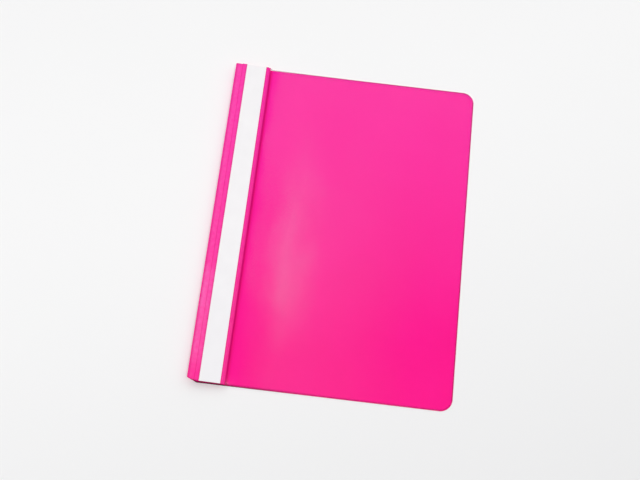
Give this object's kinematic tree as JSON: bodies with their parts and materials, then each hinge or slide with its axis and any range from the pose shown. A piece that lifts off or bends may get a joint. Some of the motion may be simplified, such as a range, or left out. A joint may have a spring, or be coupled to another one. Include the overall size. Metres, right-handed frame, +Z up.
{
  "type": "fastener folder",
  "caption": "Flat plastic fastener folder for A4 paper: coloured back and spine flap with a full-length label channel, clear hinged front cover, folding prong fastener inside.",
  "frame": {"origin": "on the table under the middle of the closed folder", "axes": "+X from the spine to the free edge, +Y along the spine to the top end, +Z up from the table"},
  "size_m": [0.23, 0.31, 0.0078],
  "materials": {
    "coloured_sheet": "satin extruded sheet",
    "clear_sheet": "clear, slightly hazy film",
    "label_card": "uncoated white card",
    "plated_steel": "bright zinc plate",
    "bar_plastic": "moulded, matt"
  },
  "bodies": {
    "back": {"back_cover": "coloured_sheet"},
    "spine": {"spine_wall": "coloured_sheet"},
    "flap": {"spine_flap": "coloured_sheet", "spine_lip": "coloured_sheet", "cover_lip": "coloured_sheet", "cover_weld": "clear_sheet", "fastener_base": "plated_steel", "compressor_bar": "bar_plastic"},
    "cover": {"front_cover": "clear_sheet"},
    "label": {"label_strip": "label_card"},
    "prong_upper": {"upper_prong": "plated_steel"},
    "prong_lower": {"lower_prong": "plated_steel"},
    "lock_upper": {"upper_lock": "bar_plastic"},
    "lock_lower": {"lower_lock": "bar_plastic"}
  },
  "joints": [
    {"name": "spine_fold", "type": "hinge", "parent": "back", "child": "spine", "pos_m": [-0.1066, 0, 0.0004], "axis": [0, -1, 0], "range_deg": [0, 38]},
    {"name": "flap_fold", "type": "hinge", "parent": "spine", "child": "flap", "pos_m": [-0.1146, 0, 0.00675], "axis": [0, -1, 0], "range_deg": [0, 140]},
    {"name": "cover_hinge", "type": "hinge", "parent": "flap", "child": "cover", "pos_m": [-0.08143, 0, 0.00438], "axis": [0, -1, 0], "range_deg": [0, 165]},
    {"name": "label_slide", "type": "slide", "parent": "flap", "child": "label", "axis": [0, 1, 0], "range_m": [0, 0.312]},
    {"name": "upper_prong_fold", "type": "hinge", "parent": "flap", "child": "prong_upper", "pos_m": [-0.09772, 0.04, 0.0044], "axis": [0.9976, 0, -0.0698], "range_deg": [0, 90]},
    {"name": "lower_prong_fold", "type": "hinge", "parent": "flap", "child": "prong_lower", "pos_m": [-0.09772, -0.04, 0.0044], "axis": [-0.9976, 0, 0.0698], "range_deg": [0, 90]},
    {"name": "upper_lock_slide", "type": "slide", "parent": "flap", "child": "lock_upper", "axis": [0, 1, 0], "range_m": [0, 0.018]},
    {"name": "lower_lock_slide", "type": "slide", "parent": "flap", "child": "lock_lower", "axis": [0, -1, 0], "range_m": [0, 0.018]}
  ],
  "couplings": [
    {"joint": "upper_prong_fold", "follows": "flap_fold", "ratio": 0.64286},
    {"joint": "lower_prong_fold", "follows": "flap_fold", "ratio": 0.64286}
  ]
}
